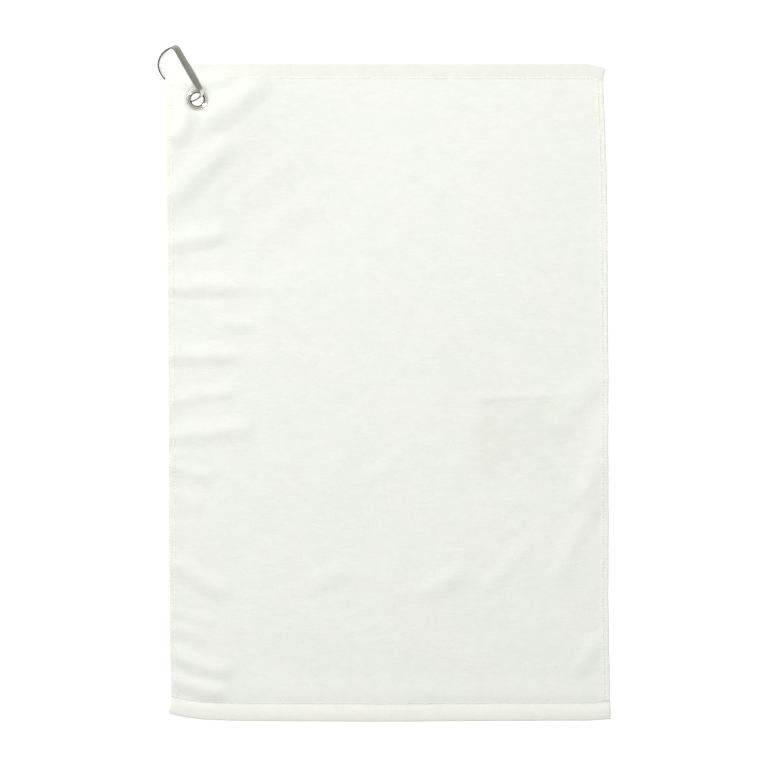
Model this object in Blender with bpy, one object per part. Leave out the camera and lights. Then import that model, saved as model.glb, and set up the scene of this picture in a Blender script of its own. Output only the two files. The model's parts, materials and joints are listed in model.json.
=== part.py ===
"""Golf towel with a hem on all four sides, a two-piece metal grommet in its top left corner, and a bent flat-strip
snap hook through the grommet. Metres, +Z up. The towel lies face up on the plane Z = 0, its long side along Y; the
corner with the grommet is lifted, because the hook passes round that corner and stands on its side bar."""

import math

import bmesh
import bpy
import numpy as np
from mathutils import Matrix, Vector

for old in list(bpy.data.objects):
    bpy.data.objects.remove(old, do_unlink=True)

MM = 0.001
GAP = 0.3 * MM  # between pieces that touch on the real object

# Towel: 16 x 24 inch cut, with the small lean of a towel laid down by hand.
TOWEL_LEFT_TOP, TOWEL_LEFT_BOTTOM = -201.8 * MM, -196.6 * MM
TOWEL_RIGHT_TOP, TOWEL_RIGHT_BOTTOM = 202.8 * MM, 208.7 * MM
TOWEL_TOP, TOWEL_BOTTOM = 296.4 * MM, -312.16 * MM
CLOTH_T = 3.0 * MM  # pile to pile
HEM_T = 4.0 * MM  # folded edge
GROOVE_T = 2.3 * MM  # where the sewing pulls the hem down
EDGE_T = 2.4 * MM
SIDE_HEM, TOP_HEM, BOTTOM_HEM = 5.0 * MM, 13.4 * MM, 16.6 * MM  # edge to seam
GROOVE_HALF = 0.8 * MM

# Grommet
GROMMET_X, GROMMET_Y, GROMMET_Z = -172.2 * MM, 262.2 * MM, 17.1 * MM
GROMMET_TILT = math.radians(6.0)
GROMMET_OUTER_R = 10.0 * MM
HOLE_R = 5.6 * MM
CLOTH_HOLE_R = 6.7 * MM
CLAMPED_T = 1.8 * MM  # cloth squeezed between eyelet and washer
ROUND = 48  # segments of the turned pieces

# Lifted corner
LIFT_REACH, LIFT_REACH_CORNER = 43.0 * MM, 36.0 * MM
PLATEAU_R, PLATEAU_BLEND = 12.5 * MM, 9.0 * MM

# Hook: a strip bent into a D-shaped ring. Its plane leans about its long side.
STRIP_T = 1.2 * MM
RING_D = 32.06 * MM  # outer width, spine to side bar
RING_TOP, RING_BOTTOM = -19.67 * MM, 34.54 * MM  # outer ends along the spine
SPINE_W, BAR_W, SIDE_W, TIP_W = 6.8 * MM, 5.5 * MM, 5.6 * MM, 5.0 * MM
TOP_CORNER_R, BOTTOM_CORNER_R = 4.9 * MM, 5.2 * MM
RING_LEAN = math.radians(43.0)
SPINE_HEADING = math.radians(30.0)  # of the spine from the towel's long side
SPINE_X, SPINE_Y = -182.6 * MM, 295.8 * MM  # point on the spine's line where the ring's coordinates start
RING_MID = 11.94 * MM  # sideways from that line to the ring's middle
RING_CLEAR = 0.15 * MM
NOSE_TIP_A = 1.4 * MM
GATE_ROOT_A, GATE_TIP_A, GATE_TIP_Q = 20.6 * MM, -8.6 * MM, 12.85 * MM


# ---------------------------------------------------------------- materials
def material(name, colour, roughness, metallic):
    m = bpy.data.materials.new(name)
    m.use_nodes = True
    b = m.node_tree.nodes["Principled BSDF"]
    b.inputs["Base Color"].default_value = (*colour, 1.0)
    b.inputs["Roughness"].default_value = roughness
    b.inputs["Metallic"].default_value = metallic
    return m


COTTON = material("white_cotton", (0.90, 0.91, 0.87), 0.9, 0.0)
THREAD = material("cream_thread", (0.90, 0.89, 0.78), 0.7, 0.0)
EYELET = material("nickel_plate", (0.72, 0.68, 0.62), 0.22, 1.0)
WASHER = material("nickel_plate_washer", (0.66, 0.64, 0.60), 0.28, 1.0)
STEEL = material("satin_nickel_strip", (0.55, 0.55, 0.52), 0.26, 1.0)
SPRING = material("satin_nickel_gate", (0.58, 0.58, 0.55), 0.26, 1.0)


def finish(name, bm, mat, place=None, smooth=None):
    bmesh.ops.recalc_face_normals(bm, faces=bm.faces[:])
    mesh = bpy.data.meshes.new(name)
    bm.to_mesh(mesh)
    bm.free()
    mesh.materials.append(mat)
    if smooth is not None:
        mesh.shade_smooth()
        mesh.set_sharp_from_angle(angle=math.radians(smooth))
    ob = bpy.data.objects.new(name, mesh)
    bpy.context.scene.collection.objects.link(ob)
    if place is not None:
        ob.matrix_world = place
    return ob


# ---------------------------------------------------------------- the hook's frame
ALONG = Vector((math.sin(SPINE_HEADING), -math.cos(SPINE_HEADING), 0.0))  # down the spine
SIDE = Vector((-math.cos(SPINE_HEADING), -math.sin(SPINE_HEADING), 0.0))  # to the side bar, level
UP = Vector((0.0, 0.0, 1.0))
ACROSS = SIDE * math.cos(RING_LEAN) - UP * math.sin(RING_LEAN)  # in the ring's plane
NORMAL = UP * math.cos(RING_LEAN) + SIDE * math.sin(RING_LEAN)  # strip's width
RING_Z = RING_D / 2 * math.sin(RING_LEAN) + SIDE_W / 2 * math.cos(RING_LEAN) + RING_CLEAR
RING_CENTRE = Vector((SPINE_X, SPINE_Y, 0.0)) + SIDE * RING_MID + UP * RING_Z
TILTED = UP * math.cos(GROMMET_TILT) - SIDE * math.sin(GROMMET_TILT)  # grommet's axis
GROMMET = Vector((GROMMET_X, GROMMET_Y, GROMMET_Z))


# ---------------------------------------------------------------- cloth
def edges_x(y):
    """Left and right edge at a height on the towel."""
    f = (TOWEL_TOP - y) / (TOWEL_TOP - TOWEL_BOTTOM)
    ease = 1 - (1 - f) ** 2
    return TOWEL_LEFT_TOP + (TOWEL_LEFT_BOTTOM - TOWEL_LEFT_TOP) * f, TOWEL_RIGHT_TOP + (TOWEL_RIGHT_BOTTOM - TOWEL_RIGHT_TOP) * ease


def knots(low_hem, high_hem, length, fine_from, fine_to, fine, coarse):
    """Distances of the grid's lines from one edge: dense across both hems and in the fine stretch."""
    low = [0, 1.2 * MM, low_hem - 1.6 * MM, low_hem - GROOVE_HALF, low_hem + GROOVE_HALF, low_hem + 2.0 * MM]
    high = [length - d for d in (high_hem + 2.0 * MM, high_hem + GROOVE_HALF, high_hem - GROOVE_HALF, high_hem - 1.6 * MM, 1.2 * MM, 0)]
    inner = []
    for a, b, step in ((low[-1], fine_from, coarse), (fine_from, fine_to, fine), (fine_to, high[0], coarse)):
        if b - a > 0.5 * MM:
            n = max(1, round((b - a) / step))
            inner += [a + (b - a) * k / n for k in range(1, n + 1)]
    inner = [v for v in inner if low[-1] + 0.5 * MM < v < high[0] - 0.5 * MM]
    return np.array(low + inner + high)


WIDTH = TOWEL_RIGHT_TOP - TOWEL_LEFT_TOP
HEIGHT = TOWEL_TOP - TOWEL_BOTTOM
KNOTS_X = knots(SIDE_HEM, SIDE_HEM, WIDTH, SIDE_HEM + 2.0 * MM, 52 * MM, 5.0 * MM, 34 * MM)
KNOTS_Y = knots(BOTTOM_HEM, TOP_HEM, HEIGHT, HEIGHT - 62 * MM, HEIGHT - TOP_HEM - 2.0 * MM, 5.2 * MM, 40 * MM)
KNOTS_X = np.unique(np.concatenate([KNOTS_X, np.arange(60, 130, 13) * MM]))
KNOTS_Y = np.unique(np.concatenate([KNOTS_Y, HEIGHT - np.arange(74, 150, 14) * MM]))


def thin_out(values, least):
    """Drops a line that comes within least of the one before it."""
    kept = [values[0]]
    for v in values[1:]:
        if v - kept[-1] > least:
            kept.append(v)
    return np.array(kept)


KNOTS_X, KNOTS_Y = thin_out(KNOTS_X, 0.6 * MM), thin_out(KNOTS_Y, 0.6 * MM)


def place_xy(dx, dy):
    """Point at dx from the left edge and dy from the bottom edge."""
    y = TOWEL_BOTTOM + dy
    left, right = edges_x(y)
    f = dx / WIDTH
    if dx < WIDTH * 0.5:
        x = left + dx * (1 + (right - left - WIDTH) / WIDTH * min(1.0, max(0.0, (dx - 0.02) / (WIDTH * 0.5 - 0.02))) * 1.0)
        x = left + dx + (right - left - WIDTH) * 0.5 * min(1.0, max(0.0, (dx - 0.01) / (WIDTH * 0.5 - 0.01)))
    else:
        rx = WIDTH - dx
        x = right - rx - (right - left - WIDTH) * 0.5 * min(1.0, max(0.0, (rx - 0.01) / (WIDTH * 0.5 - 0.01)))
    return x, y


def smooth_step(v):
    v = min(1.0, max(0.0, v))
    return v * v * (3 - 2 * v)


CORNER = Vector((TOWEL_LEFT_TOP - GROMMET_X, TOWEL_TOP - GROMMET_Y, 0.0)).normalized()


def lift(x, y):
    """Height of the cloth's underside: a tent that peaks at the grommet and stays up towards the corner."""
    off = Vector((x - GROMMET_X, y - GROMMET_Y, 0.0))
    r = off.length
    towards = max(0.0, off.normalized().dot(CORNER)) if r > 1e-6 else 0.0
    reach = LIFT_REACH + LIFT_REACH_CORNER * towards
    bell = max(0.0, (math.exp(-((r / reach) ** 2)) - 0.02) / 0.98)
    tent = (GROMMET_Z - CLAMPED_T / 2) * bell
    plane = GROMMET_Z - CLAMPED_T / 2 / math.cos(GROMMET_TILT) - (TILTED.x * off.x + TILTED.y * off.y) / TILTED.z
    w = smooth_step((PLATEAU_R + PLATEAU_BLEND - r) / PLATEAU_BLEND)
    return tent * (1 - w) + plane * w


def thickness(dx, dy, x, y):
    def band(d, hem):
        return float(np.interp(d, [0, 1.2 * MM, hem - 1.6 * MM, hem - GROOVE_HALF, hem + GROOVE_HALF, hem + 2.0 * MM],
                               [EDGE_T, HEM_T, HEM_T, GROOVE_T, GROOVE_T, CLOTH_T]))

    across = (band(min(dx, WIDTH - dx), SIDE_HEM), min(dx, WIDTH - dx), SIDE_HEM)
    along = (band(dy, BOTTOM_HEM), dy, BOTTOM_HEM) if dy < HEIGHT / 2 else (band(HEIGHT - dy, TOP_HEM), HEIGHT - dy, TOP_HEM)
    in_end_hem = along[1] < along[2] + 2.0 * MM  # the end hems are folded over the side hems
    if in_end_hem:
        t = along[0]
        if across[1] < 1.2 * MM:
            t = min(t, across[0])
    else:
        t = across[0]
    r = math.hypot(x - GROMMET_X, y - GROMMET_Y)
    w = smooth_step((PLATEAU_R + PLATEAU_BLEND - r) / PLATEAU_BLEND)
    return t * (1 - w) + CLAMPED_T * w


def make_cloth():
    bm = bmesh.new()
    nx, ny = len(KNOTS_X) - 1, len(KNOTS_Y) - 1
    bmesh.ops.create_grid(bm, x_segments=nx, y_segments=ny, size=0.5)
    for v in bm.verts:
        i, j = round((v.co.x + 0.5) * nx), round((v.co.y + 0.5) * ny)
        x, y = place_xy(KNOTS_X[i], KNOTS_Y[j])
        v.co = (x, y, lift(x, y))
    bm.normal_update()
    bottom = {v: (KNOTS_X, KNOTS_Y) for v in bm.verts}
    faces = bm.faces[:]
    grid = {}
    for v in bottom:
        grid[(round(v.co.x, 9), round(v.co.y, 9))] = v
    up = bmesh.ops.extrude_face_region(bm, geom=faces, use_keep_orig=True)
    raised = [g for g in up["geom"] if isinstance(g, bmesh.types.BMVert)]
    for v in raised:
        dx, dy = distances(v.co.x, v.co.y)
        v.co.z += thickness(dx, dy, v.co.x, v.co.y)
    return bm


def distances(x, y):
    """Back from a point to its distances from the left and bottom edges."""
    dy = y - TOWEL_BOTTOM
    xs = [place_xy(k, dy)[0] for k in KNOTS_X]
    return float(np.interp(x, xs, KNOTS_X)), dy


towel = finish("towel_cloth", make_cloth(), COTTON)

hole = bmesh.new()
bmesh.ops.create_cone(hole, cap_ends=True, segments=ROUND, radius1=CLOTH_HOLE_R, radius2=CLOTH_HOLE_R, depth=0.03)
turn = Vector((0, 0, 1)).rotation_difference(TILTED).to_matrix().to_4x4()
cutter = finish("grommet_hole_cutter", hole, COTTON, Matrix.Translation(GROMMET) @ turn)
cutter.hide_render = True
cutter.display_type = "WIRE"
cut = towel.modifiers.new("grommet_hole", "BOOLEAN")
cut.operation, cut.solver, cut.object = "DIFFERENCE", "EXACT", cutter


# ---------------------------------------------------------------- sewing
THREAD_R = 0.45 * MM


def sewing(name, points):
    curve = bpy.data.curves.new(name, "CURVE")
    curve.dimensions = "3D"
    curve.bevel_depth = THREAD_R
    curve.bevel_resolution = 0
    curve.use_fill_caps = True
    spline = curve.splines.new("POLY")
    spline.points.add(len(points) - 1)
    for p, co in zip(spline.points, points):
        p.co = (*co, 1.0)
    curve.materials.append(THREAD)
    ob = bpy.data.objects.new(name, curve)
    bpy.context.scene.collection.objects.link(ob)
    return ob


def seam_point(dx, dy):
    x, y = place_xy(dx, dy)
    return x, y, lift(x, y) + thickness(dx, dy, x, y) + GAP + THREAD_R


END = 2.0 * MM
for name, dx in (("stitch_row_left", SIDE_HEM), ("stitch_row_right", WIDTH - SIDE_HEM)):
    inner = [d for d in KNOTS_Y if BOTTOM_HEM + 2.2 * MM < d < HEIGHT - TOP_HEM - 2.2 * MM]
    sewing(name, [seam_point(dx, d) for d in inner])
for name, dy in (("stitch_row_top", HEIGHT - TOP_HEM), ("stitch_row_bottom", BOTTOM_HEM)):
    inner = [d for d in KNOTS_X if END < d < WIDTH - END]
    sewing(name, [seam_point(d, dy) for d in inner])


# ---------------------------------------------------------------- grommet
def arc(centre, radius, start, end, steps):
    """Points on an arc in the profile plane, angles in degrees."""
    return [(centre[0] + radius * math.cos(math.radians(start + (end - start) * k / steps)),
             centre[1] + radius * math.sin(math.radians(start + (end - start) * k / steps))) for k in range(steps + 1)]


def turned(name, profile, mat, smooth):
    bm = bmesh.new()
    verts = [bm.verts.new((r, 0.0, z)) for r, z in profile]
    edges = [bm.edges.new((verts[k], verts[(k + 1) % len(verts)])) for k in range(len(verts))]
    bmesh.ops.spin(bm, geom=verts + edges, cent=(0, 0, 0), axis=(0, 0, 1), dvec=(0, 0, 0), angle=2 * math.pi,
                   steps=ROUND, use_merge=True, use_duplicate=False)
    bmesh.ops.remove_doubles(bm, verts=bm.verts[:], dist=1e-7)
    return finish(name, bm, mat, Matrix.Translation(GROMMET) @ turn, smooth)


HALF = CLAMPED_T / 2
FLANGE = HALF + GAP  # underside of the eyelet's flange
eyelet_profile = [(GROMMET_OUTER_R - 0.1 * MM, FLANGE), (GROMMET_OUTER_R, FLANGE + 0.3 * MM), (GROMMET_OUTER_R - 0.5 * MM, FLANGE + 0.8 * MM),
                  (GROMMET_OUTER_R - 1.5 * MM, FLANGE + 1.1 * MM), (7.5 * MM, FLANGE + 1.0 * MM), (6.6 * MM, FLANGE + 0.45 * MM),
                  (5.95 * MM, FLANGE - 0.3 * MM), (HOLE_R, FLANGE - 1.1 * MM), (HOLE_R, -HALF - 0.7 * MM),
                  (HOLE_R + 0.25 * MM, -HALF - 1.15 * MM), (HOLE_R + 0.8 * MM, -HALF - 1.45 * MM), (HOLE_R + 1.4 * MM, -HALF - 1.45 * MM),
                  (HOLE_R + 1.45 * MM, -HALF - 1.15 * MM), (HOLE_R + 0.85 * MM, -HALF - 1.1 * MM), (HOLE_R + 0.55 * MM, -HALF - 0.75 * MM),
                  (HOLE_R + 0.55 * MM, FLANGE - 0.6 * MM), (6.9 * MM, FLANGE)]
turned("grommet_eyelet", eyelet_profile, EYELET, 50)
WASHER_TOP, WASHER_T = -HALF - GAP, 0.5 * MM
washer_profile = [(HOLE_R + 0.9 * MM, WASHER_TOP), (HOLE_R + 0.9 * MM, WASHER_TOP - WASHER_T), (GROMMET_OUTER_R - 0.7 * MM, WASHER_TOP - WASHER_T),
                  (GROMMET_OUTER_R - 0.2 * MM, WASHER_TOP - WASHER_T + 0.2 * MM), (GROMMET_OUTER_R - 0.2 * MM, WASHER_TOP)]
turned("grommet_washer", washer_profile, WASHER, 30)


# ---------------------------------------------------------------- hook
HALF_T = STRIP_T / 2
SPINE_Q, NOSE_Q = -(RING_D / 2 - HALF_T), RING_D / 2 - HALF_T
TOP_A, BOTTOM_A = RING_TOP + HALF_T, RING_BOTTOM - HALF_T
NOSE_START_A, TOP_FLAT_Q = -4.3 * MM, -7.4 * MM  # where the nose's curve starts and where it meets the top
HEEL_A, HEEL_FLAT_Q, HEEL_Q = 20.9 * MM, -8.0 * MM, 15.0 * MM  # the same for the curve from the bottom to the gate


def body_path():
    """Middle line of the strip in the ring's plane, from the nose's tip round to the gate's root: (along, across, width)."""
    pts = [(NOSE_TIP_A, NOSE_Q, TIP_W), (NOSE_TIP_A - 2.0 * MM, NOSE_Q, SIDE_W - 0.2 * MM), (NOSE_START_A, NOSE_Q, SIDE_W)]
    for k in range(1, 15):
        g = math.radians(90 * k / 14)
        pts.append((NOSE_START_A + (TOP_A - NOSE_START_A) * math.sin(g), TOP_FLAT_Q + (NOSE_Q - TOP_FLAT_Q) * math.cos(g),
                    SIDE_W + (SPINE_W - SIDE_W) * smooth_step(k / 14)))
    for k in range(0, 7):
        g = math.radians(90 * k / 6)
        pts.append((TOP_A + TOP_CORNER_R * (1 - math.cos(g)), SPINE_Q + TOP_CORNER_R * (1 - math.sin(g)), SPINE_W))
    straight_end = BOTTOM_A - BOTTOM_CORNER_R
    for k in range(1, 7):
        f = k / 7
        a = TOP_A + TOP_CORNER_R + (straight_end - TOP_A - TOP_CORNER_R) * f
        pts.append((a, SPINE_Q, SPINE_W + (BAR_W - SPINE_W) * smooth_step((f - 0.6) / 0.4)))
    for k in range(0, 7):
        g = math.radians(90 * k / 6)
        pts.append((straight_end + BOTTOM_CORNER_R * math.sin(g), SPINE_Q + BOTTOM_CORNER_R * (1 - math.cos(g)), BAR_W))
    for k in range(1, 15):
        g = math.radians(90 * k / 14)
        pts.append((HEEL_A + (BOTTOM_A - HEEL_A) * math.cos(g), HEEL_FLAT_Q + (HEEL_Q - HEEL_FLAT_Q) * math.sin(g),
                    BAR_W + (SIDE_W - BAR_W) * k / 14))
    return pts


def gate_path():
    """From the root, just past the end of the body, up to the tip inside the nose."""
    pts = []
    for k in range(0, 9):
        f = k / 8
        a = GATE_ROOT_A + (GATE_TIP_A - GATE_ROOT_A) * f
        q = HEEL_Q + (GATE_TIP_Q - HEEL_Q) * (0.35 * f * f + 0.65 * f)
        pts.append((a, q, SIDE_W + (TIP_W - SIDE_W) * smooth_step((f - 0.5) / 0.5)))
    return pts


def strip(name, path, mat, origin, half_gap_at=None):
    """A flat strip with broken edges, lofted along a path in the ring's plane. Its origin is a point given in world space."""
    bm = bmesh.new()
    rings = []
    n = len(path)
    chamfer = 0.25 * MM
    for k, (a, q, w) in enumerate(path):
        a0, q0 = path[max(0, k - 1)][:2]
        a1, q1 = path[min(n - 1, k + 1)][:2]
        t = Vector((a1 - a0, q1 - q0)).normalized()
        across = ALONG * -t.y + ACROSS * t.x
        centre = RING_CENTRE + ALONG * a + ACROSS * q
        h, e = w / 2, HALF_T
        corners = [(-h, -(e - chamfer)), (-(h - chamfer), -e), (h - chamfer, -e), (h, -(e - chamfer)),
                   (h, e - chamfer), (h - chamfer, e), (-(h - chamfer), e), (-h, e - chamfer)]
        rings.append([bm.verts.new(centre + NORMAL * u + across * v - origin) for u, v in corners])
    for a, b in zip(rings, rings[1:]):
        for k in range(8):
            bm.faces.new((a[k], a[(k + 1) % 8], b[(k + 1) % 8], b[k]))
    bm.faces.new(rings[0])
    bm.faces.new(list(reversed(rings[-1])))
    return finish(name, bm, mat, Matrix.Translation(origin), 35)


swing = bpy.data.objects.new("hook_swing_axis", None)
swing.location = GROMMET
bpy.context.scene.collection.objects.link(swing)
GATE_PIVOT = RING_CENTRE + ALONG * ((HEEL_A + GATE_ROOT_A) / 2) + ACROSS * HEEL_Q
body_points = body_path()
hook = strip("hook_body", body_points, STEEL, GROMMET)
gate = strip("hook_gate", gate_path(), SPRING, GATE_PIVOT)
bpy.context.view_layer.update()
for ob in (hook, gate):
    world = ob.matrix_world.copy()
    ob.parent = swing
    ob.matrix_world = world
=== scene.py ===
"""Looks of the golf towel: velour cloth with turned hems, single stitches, grommet and bent-strip hook."""

import json
import math

import bmesh
import bpy
import numpy as np
from mathutils import Matrix, Vector


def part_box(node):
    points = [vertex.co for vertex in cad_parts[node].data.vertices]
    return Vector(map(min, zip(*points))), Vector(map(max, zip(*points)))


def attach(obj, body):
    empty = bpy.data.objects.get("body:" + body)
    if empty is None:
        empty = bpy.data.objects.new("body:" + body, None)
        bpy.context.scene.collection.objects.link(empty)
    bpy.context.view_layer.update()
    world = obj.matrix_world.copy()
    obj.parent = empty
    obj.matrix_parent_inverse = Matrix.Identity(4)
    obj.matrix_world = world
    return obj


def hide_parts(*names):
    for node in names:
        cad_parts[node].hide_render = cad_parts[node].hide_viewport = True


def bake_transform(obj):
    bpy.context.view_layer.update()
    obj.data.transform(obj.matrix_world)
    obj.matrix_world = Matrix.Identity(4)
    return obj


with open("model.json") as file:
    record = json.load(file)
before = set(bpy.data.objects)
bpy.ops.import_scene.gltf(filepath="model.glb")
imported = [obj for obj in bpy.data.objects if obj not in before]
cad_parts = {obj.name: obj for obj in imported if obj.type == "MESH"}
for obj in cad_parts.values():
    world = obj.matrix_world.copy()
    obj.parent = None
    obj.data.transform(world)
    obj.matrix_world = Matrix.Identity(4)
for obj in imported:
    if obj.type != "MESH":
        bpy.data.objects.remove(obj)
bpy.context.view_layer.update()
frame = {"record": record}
scene = bpy.context.scene
MM = 0.001


# ------------------------------------------------------------------ places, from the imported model
def joint(name):
    return next(j for j in frame["record"]["behaviour"]["joints"] if j["name"] == name)


GROMMET = Vector(joint("hook_swing")["pos_m"])
NORMAL = -Vector(joint("gate_open")["axis"]).normalized()  # the ring's normal, along the strip's width
HEADING = math.atan2(-NORMAL.y, -NORMAL.x)
LEAN = math.acos(NORMAL.z)
SIDE = Vector((NORMAL.x, NORMAL.y, 0)).normalized()
ALONG = Vector((-SIDE.y, SIDE.x, 0))
if ALONG.y > 0:
    ALONG = -ALONG
UP = Vector((0, 0, 1))
ACROSS = SIDE * math.cos(LEAN) - UP * math.sin(LEAN)
STRIP_T = 1.2
RING_D = 32.06
HEEL_A, HEEL_Q = 20.9, 15.0
GATE_ROOT_A = 20.6
PIVOT = Vector(joint("gate_open")["pos_m"])
RING_CENTRE = PIVOT - (ALONG * ((HEEL_A + GATE_ROOT_A) / 2) + ACROSS * HEEL_Q) * MM
TILT = math.radians(6.0)
TILTED = UP * math.cos(TILT) - SIDE * math.sin(TILT)
TURN = Vector((0, 0, 1)).rotation_difference(TILTED).to_matrix().to_4x4()
towel_low, towel_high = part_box("towel_cloth")


# ------------------------------------------------------------------ node helpers
def new_material(name):
    m = bpy.data.materials.new(name)
    m.use_nodes = True
    return m, m.node_tree.nodes, m.node_tree.links, m.node_tree.nodes["Principled BSDF"]


def node(nodes, kind, **values):
    n = nodes.new(kind)
    for k, v in values.items():
        if k in n.inputs:
            n.inputs[k].default_value = v
        else:
            setattr(n, k, v)
    return n


def ramp(nodes, stops):
    n = nodes.new("ShaderNodeValToRGB")
    e = n.color_ramp.elements
    while len(e) < len(stops):
        e.new(0.5)
    for k, (pos, col) in enumerate(stops):
        e[k].position = pos
        e[k].color = (*col, 1.0) if len(col) == 3 else col
    return n


# ------------------------------------------------------------------ materials
def cotton_material():
    m, N, L, b = new_material("white_velour")
    b.inputs["Roughness"].default_value = 0.95
    b.inputs["Specular IOR Level"].default_value = 0.15
    b.inputs["Sheen Weight"].default_value = 0.25
    b.inputs["Sheen Roughness"].default_value = 0.45
    b.inputs["Sheen Tint"].default_value = (1.0, 1.0, 0.97, 1.0)
    co = node(N, "ShaderNodeTexCoord")

    def noise(scale, vector_scale=(1, 1, 1), detail=3.0, rough=0.6):
        mp = node(N, "ShaderNodeMapping")
        mp.inputs["Scale"].default_value = vector_scale
        L.new(co.outputs["Object"], mp.inputs["Vector"])
        n = node(N, "ShaderNodeTexNoise", Scale=scale, Detail=detail, Roughness=rough)
        L.new(mp.outputs["Vector"], n.inputs["Vector"])
        return n.outputs["Fac"]

    def mix(kind, factor, one, two):
        n = node(N, "ShaderNodeMix", data_type="RGBA", blend_type=kind)
        for socket, value in ((n.inputs[0], factor), (n.inputs[6], one), (n.inputs[7], two)):
            if hasattr(value, "links"):
                L.new(value, socket)
            else:
                socket.default_value = value
        return n.outputs[2]

    def coloured(fac, stops):
        r = ramp(N, stops)
        L.new(fac, r.inputs["Fac"])
        return r.outputs["Color"]

    weft = noise(1.0, (130, 600, 300))  # woven rows across the towel, a little uneven
    warp = noise(1.0, (640, 90, 300))  # and the fainter ends that run down it
    pile = noise(1050.0, detail=4.0, rough=0.7)  # cut tufts
    nap = noise(1.0, (75, 120, 100), 4.0, 0.65)  # where the nap is brushed one way or the other
    tint = noise(14.0, (1, 1.3, 1), 2.0, 0.5)  # faint warmer and cooler areas
    base = coloured(nap, [(0.30, (0.885, 0.908, 0.850)), (0.72, (0.922, 0.940, 0.890))])
    base = mix("MULTIPLY", 1.0, base, coloured(tint, [(0.35, (0.993, 1.0, 0.987)), (0.5, (1.0, 1.0, 1.0)), (0.66, (1.006, 0.995, 0.999))]))
    base = mix("MULTIPLY", 1.0, base, coloured(weft, [(0.25, (0.970, 0.970, 0.968)), (0.75, (1.0, 1.0, 1.0))]))
    base = mix("MULTIPLY", 1.0, base, coloured(warp, [(0.25, (0.985, 0.985, 0.985)), (0.75, (1.0, 1.0, 1.0))]))
    base = mix("MULTIPLY", 1.0, base, coloured(pile, [(0.3, (0.965, 0.965, 0.960)), (0.7, (1.0, 1.0, 1.0))]))
    pressed_pile_and_shade_node = node(N, "ShaderNodeAttribute", attribute_name="pressed_pile_and_shade")  # where the pile is pressed flat, and painted shade round the grommet
    base = mix("MIX", pressed_pile_and_shade_node.outputs["Fac"], base, mix("MULTIPLY", 1.0, base, (0.962, 0.965, 0.950, 1)))
    hem = node(N, "ShaderNodeAttribute", attribute_name="hem")  # bare ground weave, folded double, lighter; partly painted light standing in for light on the raised hems
    base = mix("MIX", hem.outputs["Fac"], base, mix("MULTIPLY", 1.0, base, (1.030, 1.016, 1.002, 1)))
    top = node(N, "ShaderNodeAttribute", attribute_name="top_hem")
    base = mix("MIX", top.outputs["Fac"], base, mix("MULTIPLY", 1.0, base, (0.950, 0.950, 0.952, 1)))
    # each stitch draws the cloth in a little: bumped puckers, with painted shade in their creases
    xyz = node(N, "ShaderNodeSeparateXYZ")
    L.new(co.outputs["Object"], xyz.inputs["Vector"])
    puckers = None
    for axis, name in (("X", "pucker_x"), ("Y", "pucker_y")):
        k = node(N, "ShaderNodeMath", operation="MULTIPLY")
        k.inputs[1].default_value = 2 * math.pi / 0.0029
        L.new(xyz.outputs[axis], k.inputs[0])
        wobble = node(N, "ShaderNodeMath", operation="ADD")
        L.new(k.outputs[0], wobble.inputs[0])
        jitter = node(N, "ShaderNodeMath", operation="MULTIPLY")
        jitter.inputs[1].default_value = 7.0
        L.new(nap, jitter.inputs[0])
        L.new(jitter.outputs[0], wobble.inputs[1])
        wave = node(N, "ShaderNodeMath", operation="SINE")
        L.new(wobble.outputs[0], wave.inputs[0])
        where = node(N, "ShaderNodeAttribute", attribute_name=name)
        part = node(N, "ShaderNodeMath", operation="MULTIPLY")
        L.new(wave.outputs[0], part.inputs[0])
        L.new(where.outputs["Fac"], part.inputs[1])
        if puckers:
            both = node(N, "ShaderNodeMath", operation="ADD")
            L.new(puckers, both.inputs[0])
            L.new(part.outputs[0], both.inputs[1])
            part = both
        puckers = part.outputs[0]
    to01 = node(N, "ShaderNodeMapRange")
    to01.inputs["From Min"].default_value = -1.0
    L.new(puckers, to01.inputs["Value"])
    # painted shade in the pucker troughs
    base = mix("MULTIPLY", 1.0, base, coloured(to01.outputs["Result"], [(0.0, (0.978, 0.978, 0.968)), (0.5, (1.0, 1.0, 1.0)), (1.0, (1.0, 1.0, 1.0))]))
    L.new(base, b.inputs["Base Color"])
    last = None
    for height, strength, distance in ((to01.outputs["Result"], 0.22, 0.0007), (weft, 0.32, 0.0006), (warp, 0.22, 0.0005), (pile, 0.38, 0.0005), (nap, 0.25, 0.0012)):
        bump = node(N, "ShaderNodeBump", Strength=strength, Distance=distance)
        L.new(height, bump.inputs["Height"])
        if last:
            L.new(last, bump.inputs["Normal"])
        last = bump.outputs["Normal"]
    L.new(last, b.inputs["Normal"])
    return m


def thread_material():
    m, N, L, b = new_material("cream_thread")
    b.inputs["Roughness"].default_value = 0.55
    b.inputs["Sheen Weight"].default_value = 0.3
    co = node(N, "ShaderNodeTexCoord")
    tw = node(N, "ShaderNodeTexNoise", Scale=2600.0, Detail=2.0)
    L.new(co.outputs["Object"], tw.inputs["Vector"])
    c = ramp(N, [(0.3, (0.965, 0.96, 0.90)), (0.7, (0.995, 0.99, 0.95))])
    L.new(tw.outputs["Fac"], c.inputs["Fac"])
    L.new(c.outputs["Color"], b.inputs["Base Color"])
    bp = node(N, "ShaderNodeBump", Strength=0.6, Distance=0.0001)
    L.new(tw.outputs["Fac"], bp.inputs["Height"])
    L.new(bp.outputs["Normal"], b.inputs["Normal"])
    return m


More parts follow.
